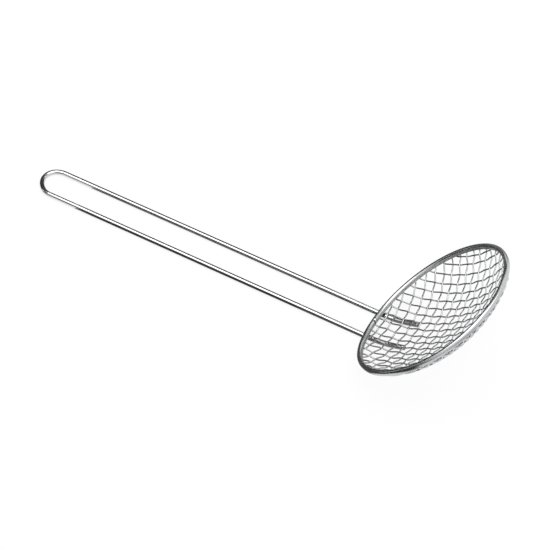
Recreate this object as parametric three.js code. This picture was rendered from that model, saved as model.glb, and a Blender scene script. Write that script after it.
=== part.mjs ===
// Wire mesh skimmer: a bowl of woven, crimped steel wire whose cut edge is clamped in a folded steel
// rim, on one long wire handle that is bent double into a hanging loop.
// Millimetres, +Z up. The handle lies flat along X with its loop at -X, and the bowl tilts up at +X.
// The origin is under the middle of the part's box, on the plane that the handle rests on.
import * as THREE from 'three';

// Rim: one steel strip folded over the edge of the mesh, its two ends meeting between the handle's legs
const RIM_RADIUS = 80; // to the outside of the strip
const RIM_HEIGHT = 4.8;
const RIM_TILT = 45.5; // degrees between the rim's plane and the handle
const STRIP_WALL = 0.6;
const SEAM_GAP = 0.4;
const SEAM_LEAN = 1.2; // along the rim, from the strip's edge to its top

// Mesh: plain weave of crimped round wire, pressed into a shallow bowl
const WIRE_DIAMETER = 1.2;
const WARP_PITCH = 8; // between the wires that run along the handle
const WARP_SHIFT = -3.6; // from the bowl's middle to the warp wire counted as zero
const WEFT_PITCH = 8.28; // between the wires that run across
const WEFT_SHIFT = -2.5;
const WEAVE_TURN = -2.1; // degrees between the warp wires and the handle
const CRIMP_LAND = 1.8; // straight stretch of a wire where it crosses another
const BOWL_DEPTH = 32.4; // from the rim's top to the middle of the mesh's thickness
const BOWL_FULLNESS = 0.26; // 0 is a parabola, more is flatter in the middle and steeper at the rim
const BOWL_DROP = 1.2; // from the strip's lower edge down to the edge of the bowl's curve
const EDGE_BEND = 3; // radius on which the wires turn up into the strip
const EDGE_MARGIN = 5; // from the middle of the strip to the outermost wire that is woven in
const WIRE_END_GAP = 0.2; // from a wire's cut end up to where the strip's round fold begins

// Handle: one round wire with two parallel legs, whose tails follow the bowl's underside
const HANDLE_DIAMETER = 4.8;
const LEG_SPACING = 28.8; // between the middles of the legs
const LEG_LENGTH = 339.8; // from the rim's seat on the legs to the middle of the loop
const TAIL_LENGTH = 31; // of the end that lies along the bowl
const TAIL_BEND = 8; // length of the bend on each side of the corner where the tail begins

// Clearances between pieces that touch
const WEAVE_CLEARANCE = 0.3; // wire on wire
const STRIP_CLEARANCE = 0.3; // mesh in the folded strip
const SEAT_CLEARANCE = 0.3; // rim and mesh on the handle

// Facets, and how closely the tail's corner is found
const RIM_SEGMENTS = 52;
const FOLD_STEPS_OUTSIDE = 6;
const FOLD_STEPS_INSIDE = 2;
const WIRE_SIDES = 5;
const HANDLE_SIDES = 12;
const LOOP_STEPS = 13; // odd, so that one flat facet faces straight along the handle
const TAIL_STEPS = 5;
const BEND_STEPS = 3;
const CORNER_TOLERANCE = 0.003;

// Polished stainless steel
const RIM_STEEL = { color: 0xb9bbbd, metalness: 1, roughness: 0.2 };
const MESH_STEEL = { color: 0xa9abad, metalness: 1, roughness: 0.3 };
const HANDLE_STEEL = { color: 0xc4c6c8, metalness: 1, roughness: 0.15 };

// Sizes that follow from the ones above
const wireRadius = WIRE_DIAMETER / 2;
const crimp = (WIRE_DIAMETER + WEAVE_CLEARANCE) / 2;
const channelHalf = crimp + wireRadius + STRIP_CLEARANCE;
const stripHalf = channelHalf + STRIP_WALL;
const clampRadius = RIM_RADIUS - stripHalf;
const bowlEdge = -(RIM_HEIGHT + BOWL_DROP);
const bowlRise = BOWL_DEPTH + bowlEdge;
const tilt = THREE.MathUtils.degToRad(RIM_TILT);
const handleRadius = HANDLE_DIAMETER / 2;
const legHeight = handleRadius * Math.cos(Math.PI / HANDLE_SIDES);

// Joins rings of points into one closed skin. Each ring is the outline set out at one station, counter-
// clockwise as seen by someone whom the stations walk towards.
function sweep(outline, rings) {
  const count = outline.length;
  const index = [];
  for (let ring = 0; ring + 1 < rings.length; ring++) {
    for (let corner = 0; corner < count; corner++) {
      const a = ring * count + corner;
      const b = ring * count + ((corner + 1) % count);
      index.push(a, b, b + count, a, b + count, a + count);
    }
  }
  const last = (rings.length - 1) * count;
  for (const [a, b, c] of THREE.ShapeUtils.triangulateShape(outline, [])) {
    index.push(a, c, b);
    index.push(last + a, last + b, last + c);
  }
  const geometry = new THREE.BufferGeometry();
  const position = rings.flat().flatMap((point) => point.toArray());
  geometry.setAttribute('position', new THREE.Float32BufferAttribute(position, 3));
  geometry.setIndex(index);
  geometry.computeVertexNormals();
  return geometry;
}

// A round wire's section as a polygon, with one flat side facing down
function roundSection(radius, sides) {
  const corner = (k) => ((2 * k + 1) / sides) * Math.PI - Math.PI / 2;
  return Array.from({ length: sides }, (_, k) =>
    new THREE.Vector2(radius * Math.cos(corner(k)), radius * Math.sin(corner(k))));
}

// A wire through the given stations, whose section keeps its top turned to each station's up direction
function wire(section, stations) {
  const rings = stations.map(({ point, up }, k) => {
    const before = stations[Math.max(k - 1, 0)].point;
    const after = stations[Math.min(k + 1, stations.length - 1)].point;
    const into = point.clone().sub(before).normalize();
    const onward = after.clone().sub(point).normalize();
    const forward = into.add(onward).normalize();
    const side = up.clone().cross(forward).normalize();
    const top = forward.clone().cross(side);
    return section.map((corner) =>
      point.clone().addScaledVector(side, corner.x).addScaledVector(top, corner.y));
  });
  return sweep(section, rings);
}

function piece(name, geometry, steel) {
  const mesh = new THREE.Mesh(geometry, new THREE.MeshStandardMaterial(steel));
  mesh.name = name;
  return mesh;
}

// Height of the bowl's middle surface below the rim's top, and its slope, at a distance from the axis
function bowlHeight(radius) {
  const share = (radius / clampRadius) ** 2;
  return bowlEdge - bowlRise * (1 - share) * (1 + BOWL_FULLNESS * share);
}

function bowlSlope(radius) {
  const share = (radius / clampRadius) ** 2;
  return ((2 * bowlRise * radius) / clampRadius ** 2) * (1 - BOWL_FULLNESS + 2 * BOWL_FULLNESS * share);
}

// The bend that turns the mesh up into the strip starts on the bowl and ends upright in the strip
const edgeSlope = Math.atan(bowlSlope(clampRadius));
const bendStart = clampRadius - EDGE_BEND * (1 - Math.sin(edgeSlope));
const uprightHeight = bowlHeight(bendStart) + EDGE_BEND * Math.cos(edgeSlope);
const wireEndHeight = -(stripHalf + WIRE_END_GAP);

// A station of a mesh wire, at its place as seen along the bowl's axis and at its height, moved inwards off
// the middle surface. The surface's normal leans towards the axis by the given angle.
function meshPoint(plan, height, lean, inwards) {
  const toAxis = plan.clone().normalize().multiplyScalar(-Math.sin(lean));
  const up = new THREE.Vector3(toAxis.x, toAxis.y, Math.cos(lean));
  const point = new THREE.Vector3(plan.x, plan.y, height).addScaledVector(up, inwards);
  return { point, up };
}

// How far a wire stands off the middle surface: all the way on each land, and evenly between lands.
// It changes side from one crossing to the next.
function crimpWave(along, crossed) {
  const crossing = (along - crossed.shift) / crossed.pitch;
  const nearest = Math.round(crossing);
  const landShare = CRIMP_LAND / crossed.pitch / 2;
  const away = Math.max(Math.abs(crossing - nearest), landShare);
  const height = (0.5 - away) / (0.5 - landShare);
  return crimp * height * (nearest % 2 === 0 ? 1 : -1);
}

// One wire of the mesh. It runs straight along its set's direction as seen along the bowl's axis, offset
// across it, and crosses the wires of the other set. Its two ends stand up in the strip.
function meshWire(set, crossed, offset, firstSide) {
  const reach = Math.sqrt(clampRadius ** 2 - offset ** 2);
  const bend = Math.sqrt(bendStart ** 2 - offset ** 2);
  const place = (along, height, lean) => {
    const plan = set.direction.clone().multiplyScalar(along).addScaledVector(crossed.direction, offset);
    const inwards = firstSide * crimpWave(along, crossed);
    return meshPoint(plan, height, lean, inwards);
  };
  const onBowl = (along) => {
    const radius = Math.hypot(along, offset);
    return place(along, bowlHeight(radius), Math.atan(bowlSlope(radius)));
  };
  const lands = [];
  for (let k = Math.floor((-bend - crossed.shift) / crossed.pitch); k * crossed.pitch < 2 * bend; k++) {
    for (const end of [-1, 1]) {
      const along = crossed.shift + k * crossed.pitch + (end * CRIMP_LAND) / 2;
      if (Math.abs(along) < bend - CRIMP_LAND) lands.push(along);
    }
  }
  const upright = Math.PI / 2;
  return wire(roundSection(wireRadius, WIRE_SIDES), [
    place(-reach, wireEndHeight, upright),
    place(-reach, uprightHeight, upright),
    onBowl(-bend),
    ...lands.map(onBowl),
    onBowl(bend),
    place(reach, uprightHeight, upright),
    place(reach, wireEndHeight, upright),
  ]);
}

// All wires of one set, numbered outwards from the bowl's middle on each side
function wireSet(set, crossed) {
  const widest = clampRadius - EDGE_MARGIN;
  const first = Math.ceil((-widest - set.shift) / set.pitch);
  const last = Math.floor((widest - set.shift) / set.pitch);
  const middle = Math.ceil(-set.shift / set.pitch);
  const wires = [];
  for (let k = first; k <= last; k++) {
    const side = k % 2 === 0 ? set.firstSide : -set.firstSide;
    const geometry = meshWire(set, crossed, set.shift + k * set.pitch, side);
    const name = k < middle ? `${set.before}_${middle - k}` : `${set.after}_${k - middle + 1}`;
    wires.push(piece(name, geometry, MESH_STEEL));
  }
  return wires;
}

// The folded strip: an upside-down U with a round fold, carried round the rim from seam to seam.
// Its two ends are cut at a lean.
function rimBand() {
  const foldHeight = -stripHalf;
  const fold = (radius, from, to, steps) => Array.from({ length: steps + 1 }, (_, k) => {
    const angle = THREE.MathUtils.lerp(from, to, k / steps);
    return new THREE.Vector2(radius * Math.cos(angle), foldHeight + radius * Math.sin(angle));
  });
  const outline = [
    new THREE.Vector2(stripHalf, -RIM_HEIGHT),
    ...fold(stripHalf, 0, Math.PI, FOLD_STEPS_OUTSIDE),
    new THREE.Vector2(-stripHalf, -RIM_HEIGHT),
    new THREE.Vector2(-channelHalf, -RIM_HEIGHT),
    ...fold(channelHalf, Math.PI, 0, FOLD_STEPS_INSIDE),
    new THREE.Vector2(channelHalf, -RIM_HEIGHT),
  ];
  const rings = [];
  for (let k = 0; k <= RIM_SEGMENTS; k++) {
    const end = k === 0 ? 1 : k === RIM_SEGMENTS ? -1 : 0;
    const station = Math.PI - (k / RIM_SEGMENTS) * 2 * Math.PI;
    rings.push(outline.map(({ x, y }) => {
      const lean = SEAM_LEAN * (0.5 + y / RIM_HEIGHT);
      const angle = station - (end * SEAM_GAP / 2 + Math.abs(end) * lean) / RIM_RADIUS;
      const radius = clampRadius + x;
      return new THREE.Vector3(radius * Math.cos(angle), radius * Math.sin(angle), y);
    }));
  }
  return sweep(outline, rings);
}

// Seat of the rim's outer lower edge on a leg, in the bowl's own axes
const seatX = -Math.sqrt(RIM_RADIUS ** 2 - (LEG_SPACING / 2) ** 2);
const seat = new THREE.Vector3(seatX, 0, -RIM_HEIGHT);

// The bowl's axes, tilted about Y and placed so that the seat is just above the legs at X = 0
const bowl = new THREE.Group();
bowl.rotation.y = -tilt;
bowl.position.set(0, 0, 2 * legHeight + SEAT_CLEARANCE).sub(seat.clone().applyEuler(bowl.rotation));
bowl.updateMatrix();

// The middle line of a tail under the bowl, at a place along the bowl's own X
function tailPoint(x) {
  const radius = Math.hypot(x, LEG_SPACING / 2);
  const depth = crimp + wireRadius + SEAT_CLEARANCE + handleRadius;
  const height = bowlHeight(radius) - depth * Math.hypot(1, bowlSlope(radius));
  return new THREE.Vector3(x, 0, height).applyMatrix4(bowl.matrix);
}

// Where a tail's line comes down to the height of the straight leg
function tailCorner() {
  let low = seatX;
  let high = 0;
  while (high - low > CORNER_TOLERANCE) {
    const middle = (low + high) / 2;
    if (tailPoint(middle).z < legHeight) low = middle;
    else high = middle;
  }
  return low;
}

// One leg's line in its upright plane, from the loop's end to the tip of the tail
function legLine() {
  const cornerX = tailCorner();
  const corner = tailPoint(cornerX);
  const underBowl = new THREE.Curve();
  underBowl.getPoint = (share) => tailPoint(cornerX * (1 - share));
  const along = (distance) => underBowl.getPointAt(distance / underBowl.getLength());
  const bend = new THREE.QuadraticBezierCurve3(
    new THREE.Vector3(corner.x - TAIL_BEND, 0, legHeight), corner, along(TAIL_BEND));
  const tail = Array.from({ length: TAIL_STEPS }, (_, k) =>
    along(TAIL_BEND + ((k + 1) / TAIL_STEPS) * (TAIL_LENGTH - TAIL_BEND)));
  return [...bend.getPoints(BEND_STEPS), ...tail];
}

// The handle from the tip of one tail, round the loop and back to the tip of the other
function handleWire() {
  const leg = legLine();
  const onLeg = (side) => leg.map((point) => point.clone().setY((side * LEG_SPACING) / 2));
  const loop = Array.from({ length: LOOP_STEPS + 1 }, (_, k) => {
    const angle = Math.PI / 2 + (k / LOOP_STEPS) * Math.PI;
    const x = -LEG_LENGTH + (LEG_SPACING / 2) * Math.cos(angle);
    return new THREE.Vector3(x, (LEG_SPACING / 2) * Math.sin(angle), legHeight);
  });
  const line = [...onLeg(1).reverse(), ...loop, ...onLeg(-1)];
  const up = new THREE.Vector3(0, 0, 1);
  return wire(roundSection(handleRadius, HANDLE_SIDES), line.map((point) => ({ point, up })));
}

const turn = THREE.MathUtils.degToRad(WEAVE_TURN);
const warp = {
  before: 'warp_right',
  after: 'warp_left',
  direction: new THREE.Vector2(Math.cos(turn), Math.sin(turn)),
  pitch: WARP_PITCH,
  shift: WARP_SHIFT,
  firstSide: 1,
};
const weft = {
  before: 'weft_near',
  after: 'weft_far',
  direction: new THREE.Vector2(-Math.sin(turn), Math.cos(turn)),
  pitch: WEFT_PITCH,
  shift: WEFT_SHIFT,
  firstSide: -1,
};
bowl.add(piece('rim_band', rimBand(), RIM_STEEL));
bowl.add(...wireSet(warp, weft), ...wireSet(weft, warp));

const skimmer = new THREE.Group();
skimmer.add(bowl, piece('handle_wire', handleWire(), HANDLE_STEEL));
const middle = new THREE.Box3().setFromObject(skimmer, true).getCenter(new THREE.Vector3());
skimmer.position.x = -middle.x;

export default skimmer;
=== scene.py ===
"""A wire mesh skimmer: a woven bowl of crimped steel wire, clamped in a folded rim, on a doubled wire.

Sizes are in millimetres unless a comment says otherwise, and meshes are written in metres, in the frame's
axes: +Z up, the handle flat along X with its loop at -X, and the bowl tilted up at +X.
"""
import bpy
import numpy as np
from mathutils import Matrix, Vector


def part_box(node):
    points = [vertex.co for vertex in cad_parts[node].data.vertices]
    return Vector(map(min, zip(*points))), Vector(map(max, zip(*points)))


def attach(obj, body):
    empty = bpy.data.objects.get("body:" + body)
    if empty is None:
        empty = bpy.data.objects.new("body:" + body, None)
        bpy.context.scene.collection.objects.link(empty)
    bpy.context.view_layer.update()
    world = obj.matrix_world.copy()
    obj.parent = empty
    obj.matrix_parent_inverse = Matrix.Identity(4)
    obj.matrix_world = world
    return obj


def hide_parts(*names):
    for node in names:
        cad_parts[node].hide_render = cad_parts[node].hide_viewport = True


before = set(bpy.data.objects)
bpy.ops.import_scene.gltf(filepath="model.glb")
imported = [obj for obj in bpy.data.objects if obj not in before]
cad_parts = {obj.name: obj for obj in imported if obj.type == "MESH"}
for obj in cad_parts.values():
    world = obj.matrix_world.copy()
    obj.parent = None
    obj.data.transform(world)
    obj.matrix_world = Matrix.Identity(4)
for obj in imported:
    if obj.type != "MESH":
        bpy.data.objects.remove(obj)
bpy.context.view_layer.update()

# Woven mesh.
# Stainless wire drawn through dies, crimped in the loom and woven over and under, then pressed into a bowl.
# Its cut edge turns up into the folded rim, which clamps it.
MM = 0.001
rim_low, rim_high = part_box("rim_band")
RIM_RADIUS = (rim_high.y - rim_low.y) / 2 / MM  # to the outside of the folded strip
RIM_HEIGHT = 4.8
RIM_TILT = np.radians(45.5)  # of the rim's plane, out of the handle's
RIM_SAG = 3.1  # how far the rim has sprung out of flat: down on one side, and up on the next
RIM_RISE = 2.4
SAG_TURN = np.radians(-33)  # where round the rim the sag and the rise are greatest
RISE_TURN = np.radians(-125)
SAG_POWER = 2  # of the cosine by which each falls off round the rim
RISE_POWER = 4
SPRING_POWER = 8  # of the distance from the bowl's middle by which both grow towards the rim
STRIP_HALF = 2.25  # half the thickness of the folded strip
CLAMP_RADIUS = RIM_RADIUS - STRIP_HALF  # to the middle of the strip
BOWL_DEPTH = 32.4  # from the rim's top plane to the mesh's middle surface
BOWL_FULLNESS = 0.26  # 0 is a parabola, and more is flatter in the middle and steeper at the rim
BOWL_DROP = 1.2  # from the strip's lower edge to the edge of the bowl's curve
BOWL_EDGE = -(RIM_HEIGHT + BOWL_DROP)
BOWL_RISE = BOWL_DEPTH + BOWL_EDGE
PRESS_SHIFT = 0.18  # the most that pressing the bowl shifts a crossing, along each axis
PRESS_WAVES_X = ((19.0, 5.3, 0.0), (-13.0, 9.1, 1.0))  # millimetres per radian along x and y, and a start
PRESS_WAVES_Y = ((6.1, -17.0, 2.0), (11.0, 8.3, 0.0))
EDGE_BEND = 3.0  # radius on which a wire turns up into the strip
EDGE_PLACE = 74.3  # of a wire that has slid in beside the strip, from the bowl's middle
WIRE_END_GAP = 0.2  # from a wire's cut end up to where the strip's fold begins to round
WIRE_RADIUS = 0.66
WIRE_LIFT = WIRE_RADIUS  # off the mesh's middle surface at each crossing, so that crossing wires touch
WIRE_SIDES = 10
RINGS_PER_CROSSING = 14
BEND_RINGS = 6
UPRIGHT_RINGS = 3
WEAVE_TURN = np.radians(-2.1)  # of the warp wires, out of the handle's direction
WARP = {
    "along": np.array([np.cos(WEAVE_TURN), np.sin(WEAVE_TURN)]),
    "pitch": 8.0,
    "shift": -3.6,  # place of wire number zero, from the bowl's middle
    "first": -8,
    "last": 10,
    "side": 1,  # of wire zero where it meets wire zero of the other direction: 1 is into the bowl
    "before": "warp_right",  # names of the wires on the two sides of the bowl's middle
    "after": "warp_left",
}
WEFT = {
    "along": np.array([-np.sin(WEAVE_TURN), np.cos(WEAVE_TURN)]),
    "pitch": 8.28,
    "shift": -2.5,
    "first": -9,
    "last": 9,
    "side": -1,
    "before": "weft_near",
    "after": "weft_far",
}

# The bowl's own axes have the rim's top plane at zero height. They tilt about Y, and the rim's outer lower
# edge sets their place in the frame.
bowl_x = np.array([np.cos(RIM_TILT), 0, np.sin(RIM_TILT)])
bowl_z = np.array([-np.sin(RIM_TILT), 0, np.cos(RIM_TILT)])
bowl_axes = np.stack([bowl_x, [0, 1, 0], bowl_z])
bowl_middle = np.array([
    rim_high.x / MM - RIM_RADIUS * np.cos(RIM_TILT) - RIM_HEIGHT * np.sin(RIM_TILT),
    0,
    rim_low.z / MM + RIM_RADIUS * np.sin(RIM_TILT) + RIM_HEIGHT * np.cos(RIM_TILT),
])


def bowl_height(radius):
    """Height of the mesh's middle surface: a parabola in the radius, made fuller towards its edge."""
    share = (radius / CLAMP_RADIUS) ** 2
    return BOWL_EDGE - BOWL_RISE * (1 - share) * (1 + BOWL_FULLNESS * share)


def bowl_slope(radius):
    """The derivative of bowl_height."""
    share = (radius / CLAMP_RADIUS) ** 2
    return 2 * BOWL_RISE * radius / CLAMP_RADIUS ** 2 * (1 - BOWL_FULLNESS + 2 * BOWL_FULLNESS * share)


def pressed(plan):
    """Shifts points, as seen along the bowl's axis, by two slow sine waves along each axis.

    The waves fade out towards the rim as the height of a half circle does.
    """
    x, y = plan.T
    fade = np.sqrt(np.clip(1 - (x ** 2 + y ** 2) / CLAMP_RADIUS ** 2, 0, 1))
    shift_x = sum(np.sin(x / wave_x + y / wave_y + start) for wave_x, wave_y, start in PRESS_WAVES_X)
    shift_y = sum(np.sin(x / wave_x + y / wave_y + start) for wave_x, wave_y, start in PRESS_WAVES_Y)
    return plan + PRESS_SHIFT / 2 * (fade * np.stack([shift_x, shift_y])).T


def sprung(plan):
    """How far the rim has sprung out of flat, at points as seen along the bowl's axis.

    The sag and the rise are each a power of the cosine of the turn from their own middle. Both grow towards
    the rim with a power of the distance from the bowl's middle.
    """
    turn = np.arctan2(plan[:, 1], plan[:, 0])
    sag = RIM_SAG * np.maximum(np.cos(turn - SAG_TURN), 0) ** SAG_POWER
    rise = RIM_RISE * np.maximum(np.cos(turn - RISE_TURN), 0) ** RISE_POWER
    return (rise - sag) * np.minimum(np.linalg.norm(plan, axis=1) / CLAMP_RADIUS, 1) ** SPRING_POWER


def wire_places(wires):
    """The numbers of the wires of one direction, and where they lie across the bowl.

    They are evenly spaced, but a wire whose even place falls under the strip has slid in beside it.
    """
    numbers = np.arange(wires["first"], wires["last"] + 1)
    return numbers, np.clip(wires["shift"] + numbers * wires["pitch"], -EDGE_PLACE, EDGE_PLACE)


def edge_profile():
    """Radius, height and lean of the mesh's middle surface where it turns up into the strip.

    The first point is where the bowl's curve ends. Part of a circle follows, and then an upright line.
    """
    start_lean = np.arctan(bowl_slope(CLAMP_RADIUS))
    bend_lean = np.linspace(start_lean, np.pi / 2, BEND_RINGS + 1)
    bend_radius = CLAMP_RADIUS - EDGE_BEND * (1 - np.sin(bend_lean))
    bend_top = bowl_height(bend_radius[0]) + EDGE_BEND * np.cos(start_lean)
    bend_height = bend_top - EDGE_BEND * np.cos(bend_lean)
    upright_height = np.linspace(bend_top, -(STRIP_HALF + WIRE_END_GAP), UPRIGHT_RINGS + 1)[1:]
    radius = np.append(bend_radius, np.full(UPRIGHT_RINGS, CLAMP_RADIUS))
    height = np.append(bend_height, upright_height)
    lean = np.append(bend_lean, np.full(UPRIGHT_RINGS, np.pi / 2))
    return radius, height, lean


def mesh_wire_route(wires, crossed, place, side):
    """The middle line of one mesh wire in the bowl's axes, and the direction into the bowl along it.

    Seen along the bowl's axis the wire is straight until it is pressed. It follows the bowl, and its ends
    turn up into the strip. A cosine that turns over from each crossing to the next lifts it over and under
    the other wires. Between the outermost crossing and the strip it has half a step, which brings the wire
    back to the middle surface.
    """
    edge_radius, edge_height, edge_lean = edge_profile()
    reach = np.sqrt(edge_radius[0] ** 2 - place ** 2)
    steps = int(np.ceil(reach / crossed["pitch"] * RINGS_PER_CROSSING))
    bowl_along = np.linspace(0, reach, steps)
    bowl_radius = np.hypot(bowl_along, place)
    along = np.append(bowl_along, np.sqrt(edge_radius[1:] ** 2 - place ** 2))
    height = np.append(bowl_height(bowl_radius), edge_height[1:])
    lean = np.append(np.arctan(bowl_slope(bowl_radius)), edge_lean[1:])
    along = np.append(-along[:0:-1], along)
    height = np.append(height[:0:-1], height)
    lean = np.append(lean[:0:-1], lean)

    plan = pressed(np.outer(along, wires["along"]) + place * crossed["along"])
    outward = plan / np.maximum(np.linalg.norm(plan, axis=1), WIRE_RADIUS)[:, None]
    inside = np.column_stack([-outward * np.sin(lean)[:, None], np.cos(lean)])
    numbers, places = wire_places(crossed)
    numbers = [numbers[0] - 0.5, *numbers, numbers[-1] + 0.5]
    places = [-CLAMP_RADIUS, *places, CLAMP_RADIUS]
    wave = side * WIRE_LIFT * np.cos(np.pi * np.interp(along, places, numbers))
    return np.column_stack([plan, height + sprung(plan)]) + wave[:, None] * inside, inside


def lengths_along(route):
    """The length along a route at each of its points: the sum of the straight steps up to it."""
    return np.append(0, np.cumsum(np.linalg.norm(np.diff(route, axis=0), axis=1)))


def skin(name, rings, lengths, girths):
    """A closed mesh over rings of points in millimetres.

    Neighbouring rings are joined by four-sided faces, shaded smooth, and a flat face fills the first and the
    last ring. The UV map's U is the length at each ring, and its V is the girth at each point round a ring.
    """
    count, sides = rings.shape[:2]
    row, column = np.meshgrid(np.arange(count - 1), np.arange(sides), indexing="ij")
    rows = np.stack([row, row, row + 1, row + 1], -1).reshape(-1, 4)
    columns = np.stack([column, column + 1, column + 1, column], -1).reshape(-1, 4)
    walls = rows * sides + columns % sides
    last = (count - 1) * sides
    ends = [list(range(sides))[::-1], list(range(last, last + sides))]
    uv = np.zeros((4 * len(walls) + 2 * sides, 2), np.float32)
    uv[:4 * len(walls)] = np.stack([lengths[rows], girths[columns]], -1).reshape(-1, 2)
    mesh = bpy.data.meshes.new(name)
    mesh.from_pydata(rings.reshape(-1, 3) * MM, [], walls.tolist() + ends)
    mesh.uv_layers.new(name="surface").data.foreach_set("uv", uv.ravel())
    mesh.polygons.foreach_set("use_smooth", np.arange(len(walls) + len(ends)) < len(walls))
    piece = bpy.data.objects.new(name, mesh)
    bpy.context.scene.collection.objects.link(piece)
    return piece


def tube(name, route, up, radius, sides):
    """A round wire: a circle carried along the route, square to it, with its first quarter turned to up.

    The radius may change from ring to ring. The UV map's U is the length along the wire in metres, and its V
    goes once round it.
    """
    forward = np.gradient(route, axis=0)
    forward /= np.linalg.norm(forward, axis=1)[:, None]
    across = np.cross(up, forward)
    across /= np.linalg.norm(across, axis=1)[:, None]
    top = np.cross(forward, across)
    angle = np.arange(sides) / sides * 2 * np.pi
    circle = across[:, None] * np.cos(angle)[:, None] + top[:, None] * np.sin(angle)[:, None]
    rings = route[:, None] + circle * np.broadcast_to(radius, len(route))[:, None, None]
    return skin(name, rings, lengths_along(route) * MM, np.arange(sides + 1) / sides)


def linear(colour):
    """A colour written as an sRGB hex value, as linear red, green, blue and full opacity."""
    srgb = np.array([int(colour[k:k + 2], 16) for k in (1, 3, 5)]) / 255
    rgb = np.where(srgb <= 0.04045, srgb / 12.92, ((srgb + 0.055) / 1.055) ** 2.4)
    return (*rgb.tolist(), 1.0)


def empty_tree(owner):
    """Gives a material or a world its nodes, and takes away those that it starts with."""
    owner.use_nodes = True
    owner.node_tree.nodes.clear()
    return owner.node_tree


def add(tree, kind, inputs, **settings):
    """Adds a node with these settings. Each input is a value, or another node's output to link to it."""
    node = tree.nodes.new(kind)
    for setting, value in settings.items():
        setattr(node, setting, value)
    for socket, value in inputs.items():
        if isinstance(value, bpy.types.NodeSocket):
            tree.links.new(value, node.inputs[socket])
        else:
            node.inputs[socket].default_value = value
    return node


LINE_DETAIL = 2.0  # steps of finer noise inside the lines and the patches of a steel
PATCH_DETAIL = 3.0
LINE_DEPTH = 0.02
NOISE_LOW = 0.3  # nearly all of a noise lies between these two
NOISE_HIGH = 0.7


def begin_steel(name, line_scale, patch):
    """Starts a steel with noise drawn out into lines along the piece, and noise in soft patches.

    The lines have a scale on the UV map, and the patches a size. Returns the material, and the outputs with
    the UV map, the lines and the patches.
    """
    material = bpy.data.materials.new(name)
    tree = empty_tree(material)
    surface = add(tree, "ShaderNodeUVMap", {}, uv_map="surface").outputs["UV"]
    stretched = add(tree, "ShaderNodeMapping", {"Vector": surface, "Scale": line_scale}).outputs["Vector"]
    lines = add(tree, "ShaderNodeTexNoise", {"Vector": stretched, "Scale": 1.0, "Detail": LINE_DETAIL})
    place = add(tree, "ShaderNodeTexCoord", {}).outputs["Object"]
    patches = add(tree, "ShaderNodeTexNoise", {
        "Vector": place, "Scale": 1 / (patch * MM), "Detail": PATCH_DETAIL})
    return material, surface, lines.outputs["Fac"], patches.outputs["Fac"]


def finish_steel(tree, colour, rough, lines, relief):
    """Ends a steel: bare metal of this colour and roughness, with its lines in relief of this strength."""
    bump = add(tree, "ShaderNodeBump", {"Height": lines, "Strength": relief, "Distance": LINE_DEPTH * MM})
    steel = add(tree, "ShaderNodeBsdfPrincipled", {
        "Base Color": colour, "Metallic": 1.0, "Roughness": rough, "Normal": bump.outputs["Normal"]})
    add(tree, "ShaderNodeOutputMaterial", {"Surface": steel.outputs["BSDF"]})


def drawn_mesh_steel():
    """Stainless wire as it leaves the loom: bright grey metal with die lines along it and soft pale patches.

    The side that faces out of the bowl is the palest: a painted highlight for the bright floor that it
    reflects.
    """
    DIE_LINE = 0.3  # coarser than the real lines, so that they show
    LINE_LENGTH = 9.0
    PATCH = 5.0
    OUTSIDE = 0.75  # the side that faces out of the bowl, in turns round the wire
    HIGHLIGHT_FULL = 0.12  # turns to either side of it where the painted highlight starts to fade, and where it ends
    HIGHLIGHT_END = 0.3
    material, surface, lines, patches = begin_steel(
        "drawn_stainless_mesh_wire", (1 / (LINE_LENGTH * MM), 2 * np.pi * WIRE_RADIUS / DIE_LINE, 1), PATCH)
    tree = material.node_tree
    grey = add(tree, "ShaderNodeMix", {
        "Factor": patches, "A": linear("#acadae"), "B": linear("#bbbcbd")}, data_type="RGBA")
    around = add(tree, "ShaderNodeSeparateXYZ", {"Vector": surface}).outputs["Y"]
    from_outside = add(tree, "ShaderNodeMath", {0: around, 1: OUTSIDE}, operation="SUBTRACT")
    from_outside = add(tree, "ShaderNodeMath", {0: from_outside.outputs["Value"]}, operation="ABSOLUTE")
    # Painted highlight: the side that faces out of the bowl is mixed towards a paler grey.
    outside_highlight = add(tree, "ShaderNodeMapRange", {
        "Value": from_outside.outputs["Value"], "From Min": HIGHLIGHT_FULL, "From Max": HIGHLIGHT_END,
        "To Min": 1.0, "To Max": 0.0})
    colour = add(tree, "ShaderNodeMix", {
        "Factor": outside_highlight.outputs["Result"], "A": grey.outputs["Result"], "B": linear("#d2d3d4")},
        data_type="RGBA")
    rough = add(tree, "ShaderNodeMapRange", {
        "Value": lines, "From Min": NOISE_LOW, "From Max": NOISE_HIGH, "To Min": 0.08, "To Max": 0.17})
    finish_steel(tree, colour.outputs["Result"], rough.outputs["Result"], lines, relief=0.25)
    return material


# The frame has no node for the two short wires that have slid in beside the rim, so they replace none.
mesh_steel = drawn_mesh_steel()
for wires, crossed in ((WARP, WEFT), (WEFT, WARP)):
    first_after = int(np.ceil(-wires["shift"] / wires["pitch"]))
    for number, place in zip(*wire_places(wires)):
        if number < first_after:
            node = f"{wires['before']}_{first_after - number}"
        else:
            node = f"{wires['after']}_{number - first_after + 1}"
        side = wires["side"] if number % 2 == 0 else -wires["side"]
        route, inside = mesh_wire_route(wires, crossed, place, side)
        route = route @ bowl_axes + bowl_middle
        wire = tube(f"{node}_steel", route, inside @ bowl_axes, WIRE_RADIUS, WIRE_SIDES)
        wire.data.materials.append(mesh_steel)
        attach(wire, "root")
        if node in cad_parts:
            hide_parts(node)

# Rim.
# One stainless strip, polished and folded over the mesh's cut edge into a round-topped channel. Its two ends
# are cut at a lean and meet between the handle's legs.
STRIP_WALL = 0.6
CHANNEL_HALF = STRIP_HALF - STRIP_WALL
WALL_TUCK = 0.35  # how far each wall curves in towards its lower edge
EDGE_ROUND = 0.12
SEAM_GAP = 0.4
SEAM_LEAN = 1.2  # how much further round the rim the cut is at the strip's top than at its lower edge
FOLD_POINTS = 25
WALL_POINTS = 8
CORNER_POINTS = 4
RIM_RINGS = 241


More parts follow.
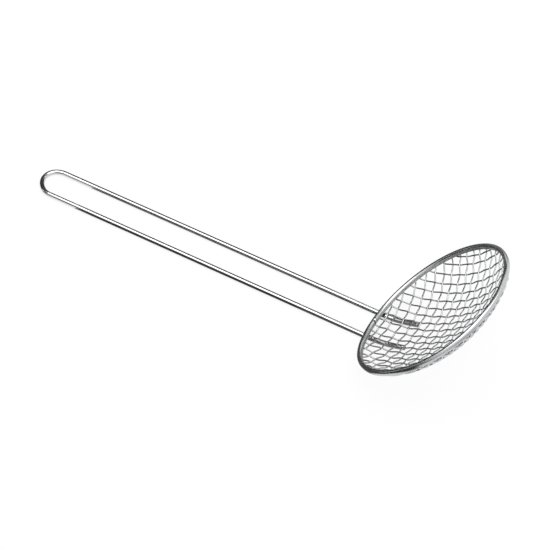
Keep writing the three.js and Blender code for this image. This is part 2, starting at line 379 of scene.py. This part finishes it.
def rim_section():
    """The strip's section, anticlockwise: an outer half circle on its two walls, then the same inside it.

    The walls curve in as a parabola, and each lower edge is rounded by a quarter circle at its two corners.
    """
    fold = np.linspace(0, np.pi, FOLD_POINTS)
    quarter = np.linspace(0, np.pi / 2, CORNER_POINTS)
    down = np.linspace(0, 1, WALL_POINTS + 2)[1:-1]
    outer = np.stack([STRIP_HALF * np.cos(fold), STRIP_HALF * np.sin(fold) - STRIP_HALF], 1)
    inner = np.stack([CHANNEL_HALF * np.cos(fold), CHANNEL_HALF * np.sin(fold) - STRIP_HALF], 1)
    wall = np.stack([WALL_TUCK * down ** 2, -STRIP_HALF - (RIM_HEIGHT - STRIP_HALF) * down], 1)
    foot = np.array([WALL_TUCK, -RIM_HEIGHT])
    corner = EDGE_ROUND * np.stack([1 - np.cos(quarter), 1 - np.sin(quarter)], 1)
    left_out = np.concatenate([wall, foot + corner]) - [STRIP_HALF, 0]
    left_in = np.concatenate([foot + corner[::-1] * [-1, 1], wall[::-1]]) - [CHANNEL_HALF, 0]
    right_in = left_in[::-1] * [-1, 1]
    right_out = left_out[::-1] * [-1, 1]
    return np.concatenate([outer, left_out, left_in, inner[::-1], right_in, right_out])


def rim_strip(name):
    """The section carried round a circle, from one end of the strip to the other, both cut at a lean.

    The UV map's U is the length round the rim, and its V the length round the section, both in metres.
    """
    section = rim_section()
    turns = np.linspace(np.pi, -np.pi, RIM_RINGS)
    ends = np.zeros(RIM_RINGS)
    ends[0] = 1
    ends[-1] = -1
    lean = SEAM_LEAN * (0.5 + section[:, 1] / RIM_HEIGHT)
    angle = turns[:, None] - (ends[:, None] * SEAM_GAP / 2 + np.abs(ends)[:, None] * lean) / RIM_RADIUS
    radius = CLAMP_RADIUS + section[:, 0]
    lift = sprung(CLAMP_RADIUS * np.column_stack([np.cos(turns), np.sin(turns)]))
    rings = np.stack([radius * np.cos(angle), radius * np.sin(angle), section[:, 1] + lift[:, None]], -1)
    around = (np.pi - turns) * CLAMP_RADIUS
    across = lengths_along(np.append(section, section[:1], axis=0))
    return skin(name, rings @ bowl_axes + bowl_middle, around * MM, across * MM)


def polished_strip_steel():
    """Rolled stainless strip, polished: bright metal with faint rolling lines along it and soft smears."""
    ROLL_LINE = 0.25  # coarser than the real lines, so that they show
    LINE_LENGTH = 25.0
    SMEAR = 12.0
    material, _, lines, smears = begin_steel(
        "polished_stainless_strip", (1 / (LINE_LENGTH * MM), 1 / (ROLL_LINE * MM), 1), SMEAR)
    tree = material.node_tree
    colour = add(tree, "ShaderNodeMix", {
        "Factor": smears, "A": linear("#bfc0c1"), "B": linear("#cdcecf")}, data_type="RGBA")
    rough = add(tree, "ShaderNodeMapRange", {
        "Value": lines, "From Min": NOISE_LOW, "From Max": NOISE_HIGH, "To Min": 0.2, "To Max": 0.3})
    finish_steel(tree, colour.outputs["Result"], rough.outputs["Result"], lines, relief=0.05)
    return material


rim = rim_strip("rim_band_steel")
rim.data.materials.append(polished_strip_steel())
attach(rim, "root")
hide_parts("rim_band")

# Handle.
# One round stainless wire, polished and bent double: a loop to hang it by and two straight legs that pass
# under the rim. Their tails follow the bowl's underside, where they are spot-welded to the mesh.
HANDLE_RADIUS = 2.4
LEG_SPACING = 28.8
LEG_LENGTH = 339.8  # from the middle of the loop's half circle to the rim
TAIL_LENGTH = 31.0
TAIL_BEND = 8.0  # how much of leg and tail the bend between them takes
TAIL_GAP = 0.05  # between a tail and the mesh
END_ROUND = 0.5
LOOP_BULGE = 1.6  # how far the hand-bent loop stands out of its half circle
BULGE_TURN = np.radians(163)  # where round the loop it stands out the most
BULGE_REACH = np.radians(70)  # how far the bulge reaches to either side of that
LEG_RINGS = 38
TAIL_RINGS = 24
TAIL_BEND_RINGS = 12
LOOP_RINGS = 65
END_RINGS = 5
HANDLE_SIDES = 32
UNDER_BOWL_STEPS = 4000
seat_x = -np.sqrt(RIM_RADIUS ** 2 - (LEG_SPACING / 2) ** 2)
seat = np.array([seat_x, 0, -RIM_HEIGHT]) @ bowl_axes + bowl_middle


def tail_line(x):
    """The middle line of a tail along the bowl's own X: the mesh's underside, lowered by the wire."""
    radius = np.hypot(x, LEG_SPACING / 2)
    depth = WIRE_LIFT + WIRE_RADIUS + TAIL_GAP + HANDLE_RADIUS
    height = bowl_height(radius) - depth * np.hypot(1, bowl_slope(radius))
    return np.stack([x, np.zeros_like(x), height], 1) @ bowl_axes + bowl_middle


def handle_route():
    """The handle's middle line: a tail, a leg, the loop, and back along the other leg and tail.

    The corner is where the bowl's underside comes up past the leg. From there a tail has its length along
    the bowl, and a parabola rounds the corner. The loop is a half circle, bulged out by a squared cosine.
    """
    under_bowl = tail_line(np.linspace(seat_x, 0, UNDER_BOWL_STEPS))
    under_bowl = under_bowl[under_bowl[:, 2] >= HANDLE_RADIUS]
    corner = under_bowl[0]
    tail_run = np.linspace(TAIL_BEND, TAIL_LENGTH, TAIL_RINGS)
    run = lengths_along(under_bowl)
    tail = np.stack([np.interp(tail_run, run, under_bowl[:, axis]) for axis in range(3)], 1)
    share = np.linspace(0, 1, TAIL_BEND_RINGS + 1)[:-1, None]
    bend = (1 - share) ** 2 * (corner - [TAIL_BEND, 0, 0]) + 2 * share * (1 - share) * corner
    bend += share ** 2 * tail[0]
    loop_x = seat[0] - LEG_LENGTH
    straight_x = np.linspace(loop_x, corner[0] - TAIL_BEND, LEG_RINGS + 2)[1:-1]
    straight = np.stack([straight_x, np.zeros_like(straight_x), np.full_like(straight_x, HANDLE_RADIUS)], 1)
    leg = np.concatenate([straight, bend, tail])

    half = LEG_SPACING / 2
    turn = np.linspace(np.pi / 2, 3 * np.pi / 2, LOOP_RINGS)
    off_bulge = np.clip((turn - BULGE_TURN) / BULGE_REACH, -1, 1)
    out = half + LOOP_BULGE * np.cos(off_bulge * np.pi / 2) ** 2
    loop = np.stack([loop_x + out * np.cos(turn), out * np.sin(turn), np.full_like(turn, HANDLE_RADIUS)], 1)
    return np.concatenate([leg[::-1] + [0, half, 0], loop, leg - [0, half, 0]])


def rounded_ends(route, radius, round_over):
    """Adds rings at both ends so that the cut edge is rounded by a quarter circle of the given size."""
    quarter = np.linspace(0, np.pi / 2, END_RINGS)
    inset = round_over * (1 - np.sin(quarter))
    narrow = radius - round_over * (1 - np.cos(quarter[::-1]))
    start = route[0] - route[1]
    finish = route[-1] - route[-2]
    first = route[0] - start / np.linalg.norm(start) * inset[:, None]
    final = route[-1] - finish / np.linalg.norm(finish) * inset[::-1, None]
    rings = np.concatenate([first[::-1], route[1:-1], final[::-1]])
    sizes = np.concatenate([narrow[::-1], np.full(len(route) - 2, radius), narrow])
    return rings, sizes


def polished_handle_steel(length):
    """Stainless rod, drawn and then polished: mirror-like metal with hair lines along it and faint smears.

    Both tails, which lie under the bowl, are darker and duller.
    """
    HAIR_LINE = 0.35  # coarser than the real lines, so that they show
    LINE_LENGTH = 30.0
    SMEAR = 18.0
    TAIL_DARK_FADE = 6.0
    material, surface, lines, smears = begin_steel(
        "polished_stainless_rod", (1 / (LINE_LENGTH * MM), 2 * np.pi * HANDLE_RADIUS / HAIR_LINE, 1), SMEAR)
    tree = material.node_tree
    bright = add(tree, "ShaderNodeMix", {
        "Factor": smears, "A": linear("#cacbcc"), "B": linear("#dadadb")}, data_type="RGBA")
    from_start = add(tree, "ShaderNodeSeparateXYZ", {"Vector": surface}).outputs["X"]
    from_finish = add(tree, "ShaderNodeMath", {0: length * MM, 1: from_start}, operation="SUBTRACT")
    from_end = add(tree, "ShaderNodeMath", {
        0: from_start, 1: from_finish.outputs["Value"]}, operation="MINIMUM")
    # Both tails are mixed towards a darker grey and a higher roughness.
    tail_dark = add(tree, "ShaderNodeMapRange", {
        "Value": from_end.outputs["Value"], "From Min": (TAIL_LENGTH - TAIL_DARK_FADE) * MM,
        "From Max": TAIL_LENGTH * MM, "To Min": 1.0, "To Max": 0.0}).outputs["Result"]
    colour = add(tree, "ShaderNodeMix", {
        "Factor": tail_dark, "A": bright.outputs["Result"], "B": linear("#b4b3b2")}, data_type="RGBA")
    hair_rough = add(tree, "ShaderNodeMapRange", {
        "Value": lines, "From Min": NOISE_LOW, "From Max": NOISE_HIGH, "To Min": 0.1, "To Max": 0.18})
    rough = add(tree, "ShaderNodeMix", {
        "Factor": tail_dark, "A": hair_rough.outputs["Result"], "B": 0.26}, data_type="FLOAT")
    finish_steel(tree, colour.outputs["Result"], rough.outputs["Result"], lines, relief=0.1)
    return material


handle_rings, handle_sizes = rounded_ends(handle_route(), HANDLE_RADIUS, END_ROUND)
upwards = np.broadcast_to([0.0, 0.0, 1.0], handle_rings.shape)
handle = tube("handle_wire_steel", handle_rings, upwards, handle_sizes, HANDLE_SIDES)
handle.data.materials.append(polished_handle_steel(lengths_along(handle_rings)[-1]))
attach(handle, "root")
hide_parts("handle_wire")

# Floor and studio.
# A white paper sheet under one broad overhead softbox, in a white tent. Grey cards round the object and flat
# on the paper are seen by reflections alone, and give the polished metal its dark lines.
FLOOR_SIZE = 6000.0
FLOOR_LEVEL = -0.05
PAPER_WHITE = 0.85  # share of plain white in the paper that is seen, and the rest keeps the shadow
TENT_FILL = 0.6  # strength with which the tent lights surfaces, while it is seen at 1
SOFTBOX_SIZE = (1750.0, 1700.0)
SOFTBOX_PLACE = (25.0, 200.0, 1300.0)
SOFTBOX_WATTS = 18.5
FRONT = -500.0  # Y of the upright cards in front of the object and behind it
BACK = 350.0
FLAT = -0.02  # level of the cards on the paper, just under the handle


def seen_share(tree):
    """One for a ray from the camera, a reflection or a clear surface, and zero for one that only lights."""
    path = add(tree, "ShaderNodeLightPath", {})
    seen = add(tree, "ShaderNodeMath", {
        0: path.outputs["Is Camera Ray"], 1: path.outputs["Is Glossy Ray"]}, operation="MAXIMUM")
    seen = add(tree, "ShaderNodeMath", {
        0: seen.outputs["Value"], 1: path.outputs["Is Transmission Ray"]}, operation="MAXIMUM")
    return seen.outputs["Value"]


def white_paper():
    """Matt white paper: plain white where it is seen, with a part left to show shadows."""
    material = bpy.data.materials.new("white_paper_sheet")
    tree = empty_tree(material)
    share = add(tree, "ShaderNodeMath", {0: seen_share(tree), 1: PAPER_WHITE}, operation="MULTIPLY")
    matt = add(tree, "ShaderNodeBsdfDiffuse", {"Color": linear("#f2f2f1")})
    white = add(tree, "ShaderNodeEmission", {"Color": linear("#ffffff"), "Strength": 1.0})
    paper = add(tree, "ShaderNodeMixShader", {
        0: share.outputs["Value"], 1: matt.outputs["BSDF"], 2: white.outputs["Emission"]})
    add(tree, "ShaderNodeOutputMaterial", {"Surface": paper.outputs["Shader"]})
    return material


def stage_sheet(name, corners, material):
    """One flat face with the given corners in millimetres, which isn't part of the object."""
    mesh = bpy.data.meshes.new(name)
    mesh.from_pydata(np.array(corners) * MM, [], [list(range(len(corners)))])
    mesh.materials.append(material)
    sheet = bpy.data.objects.new(name, mesh)
    bpy.context.scene.collection.objects.link(sheet)
    return sheet


def card(name, shade, corners):
    """A flat card of one matt shade, seen by reflections alone."""
    paint = bpy.data.materials.new(name)
    tree = empty_tree(paint)
    matt = add(tree, "ShaderNodeBsdfDiffuse", {"Color": linear(shade)})
    add(tree, "ShaderNodeOutputMaterial", {"Surface": matt.outputs["BSDF"]})
    board = stage_sheet(name, corners, paint)
    board.visible_camera = False
    board.visible_diffuse = False
    board.visible_shadow = False


def upright_card(name, shade, y, outline):
    """A card that stands across the view at the given Y, with its outline in X and Z."""
    card(name, shade, [(x, y, z) for x, z in outline])


def flat_card(name, shade, outline):
    """A card that lies on the paper, with its outline in X and Y."""
    card(name, shade, [(x, y, FLAT) for x, y in outline])


floor_corners = np.array([[-1, -1], [1, -1], [1, 1], [-1, 1]]) * FLOOR_SIZE / 2
stage_sheet("floor", np.column_stack([floor_corners, np.full(4, FLOOR_LEVEL)]), white_paper())

tent = bpy.data.worlds.new("white_tent")
bpy.context.scene.world = tent
tent_tree = empty_tree(tent)
fill = add(tent_tree, "ShaderNodeBackground", {"Color": linear("#ffffff"), "Strength": TENT_FILL})
white = add(tent_tree, "ShaderNodeBackground", {"Color": linear("#ffffff"), "Strength": 1.0})
cloth = add(tent_tree, "ShaderNodeMixShader", {
    0: seen_share(tent_tree), 1: fill.outputs["Background"], 2: white.outputs["Background"]})
add(tent_tree, "ShaderNodeOutputWorld", {"Surface": cloth.outputs["Shader"]})

softbox_light = bpy.data.lights.new("softbox", "AREA")
softbox_light.shape = "RECTANGLE"
softbox_light.size = SOFTBOX_SIZE[0] * MM
softbox_light.size_y = SOFTBOX_SIZE[1] * MM
softbox_light.energy = SOFTBOX_WATTS
softbox = bpy.data.objects.new("softbox", softbox_light)
softbox.location = Vector(SOFTBOX_PLACE) * MM
softbox.visible_camera = False
bpy.context.scene.collection.objects.link(softbox)

upright_card("front_card", "#4a4a4a", FRONT, [(-400, 0), (90, 0), (90, 480), (-490, 480)])
upright_card("front_right_card", "#303030", FRONT, [(90, 0), (450, 0), (450, 170), (90, 170)])
upright_card("front_left_card", "#141414", FRONT, [
    (-1000, 0), (-400, 0), (-454, 290), (-600, 290), (-650, 700), (-1000, 700)])
upright_card("back_card", "#3a3a3a", BACK, [
    (-1100, 0), (-20, 0), (-20, 170), (200, 170), (200, 300), (-20, 380), (-200, 560), (-240, 950),
    (-1100, 950)])
card("left_card", "#3a3a3a", [(-1000, -250, 0), (-1000, 700, 0), (-870, 1000, 1290), (-870, -500, 1290)])
card("right_card", "#606060", [(463, -919, 110), (1130, -50, 110), (1130, -50, 220), (463, -919, 220)])
card("high_back_card", "#101010", [(350, 288, 461), (-265, 369, 461), (-9, 154, 718), (230, 122, 718)])
flat_card("front_floor_sheet", "#242424", [(-300, -500), (240, -500), (240, -150), (-300, -150)])
flat_card("front_sheet", "#1c1c1c", [(-188, -150), (50, -150), (50, -45), (-188, -45)])
flat_card("lower_leg_sheet", "#383838", [(-188, -45), (50, -45), (50, -12), (-188, -12)])
flat_card("upper_leg_sheet", "#606060", [(-188, -12), (50, -12), (50, 17), (-188, 17)])
flat_card("under_bowl_sheet", "#565656", [
    (50, -150), (130, -150), (140, -70), (200, -70), (200, -60), (124, -60), (124, 17), (50, 17)])
flat_card("pale_bowl_sheet", "#b4b4b4", [(124, -60), (200, -60), (213, 40), (124, 40)])
flat_card("back_sheet", "#4a4a4a", [
    (-188, 17), (124, 17), (124, 40), (213, 40), (240, 90), (240, 165), (-100, 165), (-100, 350),
    (-900, 350), (-900, 80), (-188, 80)])
flat_card("back_right_sheet", "#9a9a9a", [(-100, 165), (240, 165), (240, 400), (-100, 400)])
flat_card("far_back_sheet", "#4a4a4a", [(-400, 400), (300, 400), (300, 1300), (-400, 1300)])
flat_card("left_sheet", "#4a4a4a", [
    (-900, -150), (-188, -150), (-188, -45), (-245, -45), (-245, 10), (-225, 19), (-188, 19), (-188, 80),
    (-900, 80)])

# Camera.
# It looks from the photograph's angle, a little under two metres away, with a long lens. Its place and its
# roll are fitted to the rim's ellipse, the handle's two lines and the mesh.
CAMERA_AIM = np.array([15.36, 7.74, 0.0])
CAMERA_DISTANCE = 1840.6
CAMERA_AZIMUTH = np.radians(28.726)
CAMERA_ELEVATION = np.radians(52.147)
CAMERA_ROLL = np.radians(0.601)
CAMERA_REACH = 20000.0  # past which it draws nothing
SENSOR_WIDTH = 36.0
FOCAL_PIXELS = 2000  # focal length in pixels of the photograph, and the photograph's width
IMAGE_PIXELS = 550
backward = Vector((
    np.sin(CAMERA_AZIMUTH) * np.cos(CAMERA_ELEVATION),
    -np.cos(CAMERA_AZIMUTH) * np.cos(CAMERA_ELEVATION),
    np.sin(CAMERA_ELEVATION),
))
camera_data = bpy.data.cameras.new("camera")
camera_data.sensor_width = SENSOR_WIDTH
camera_data.lens = SENSOR_WIDTH * FOCAL_PIXELS / IMAGE_PIXELS
camera_data.clip_end = CAMERA_REACH * MM
camera = bpy.data.objects.new("camera", camera_data)
turned = (-backward).to_track_quat("-Z", "Y").to_matrix() @ Matrix.Rotation(CAMERA_ROLL, 3, "Z")
camera.rotation_euler = turned.to_euler()
camera.location = Vector(CAMERA_AIM * MM) + backward * CAMERA_DISTANCE * MM
bpy.context.scene.collection.objects.link(camera)
bpy.context.scene.camera = camera
bpy.context.scene.view_settings.view_transform = "Standard"
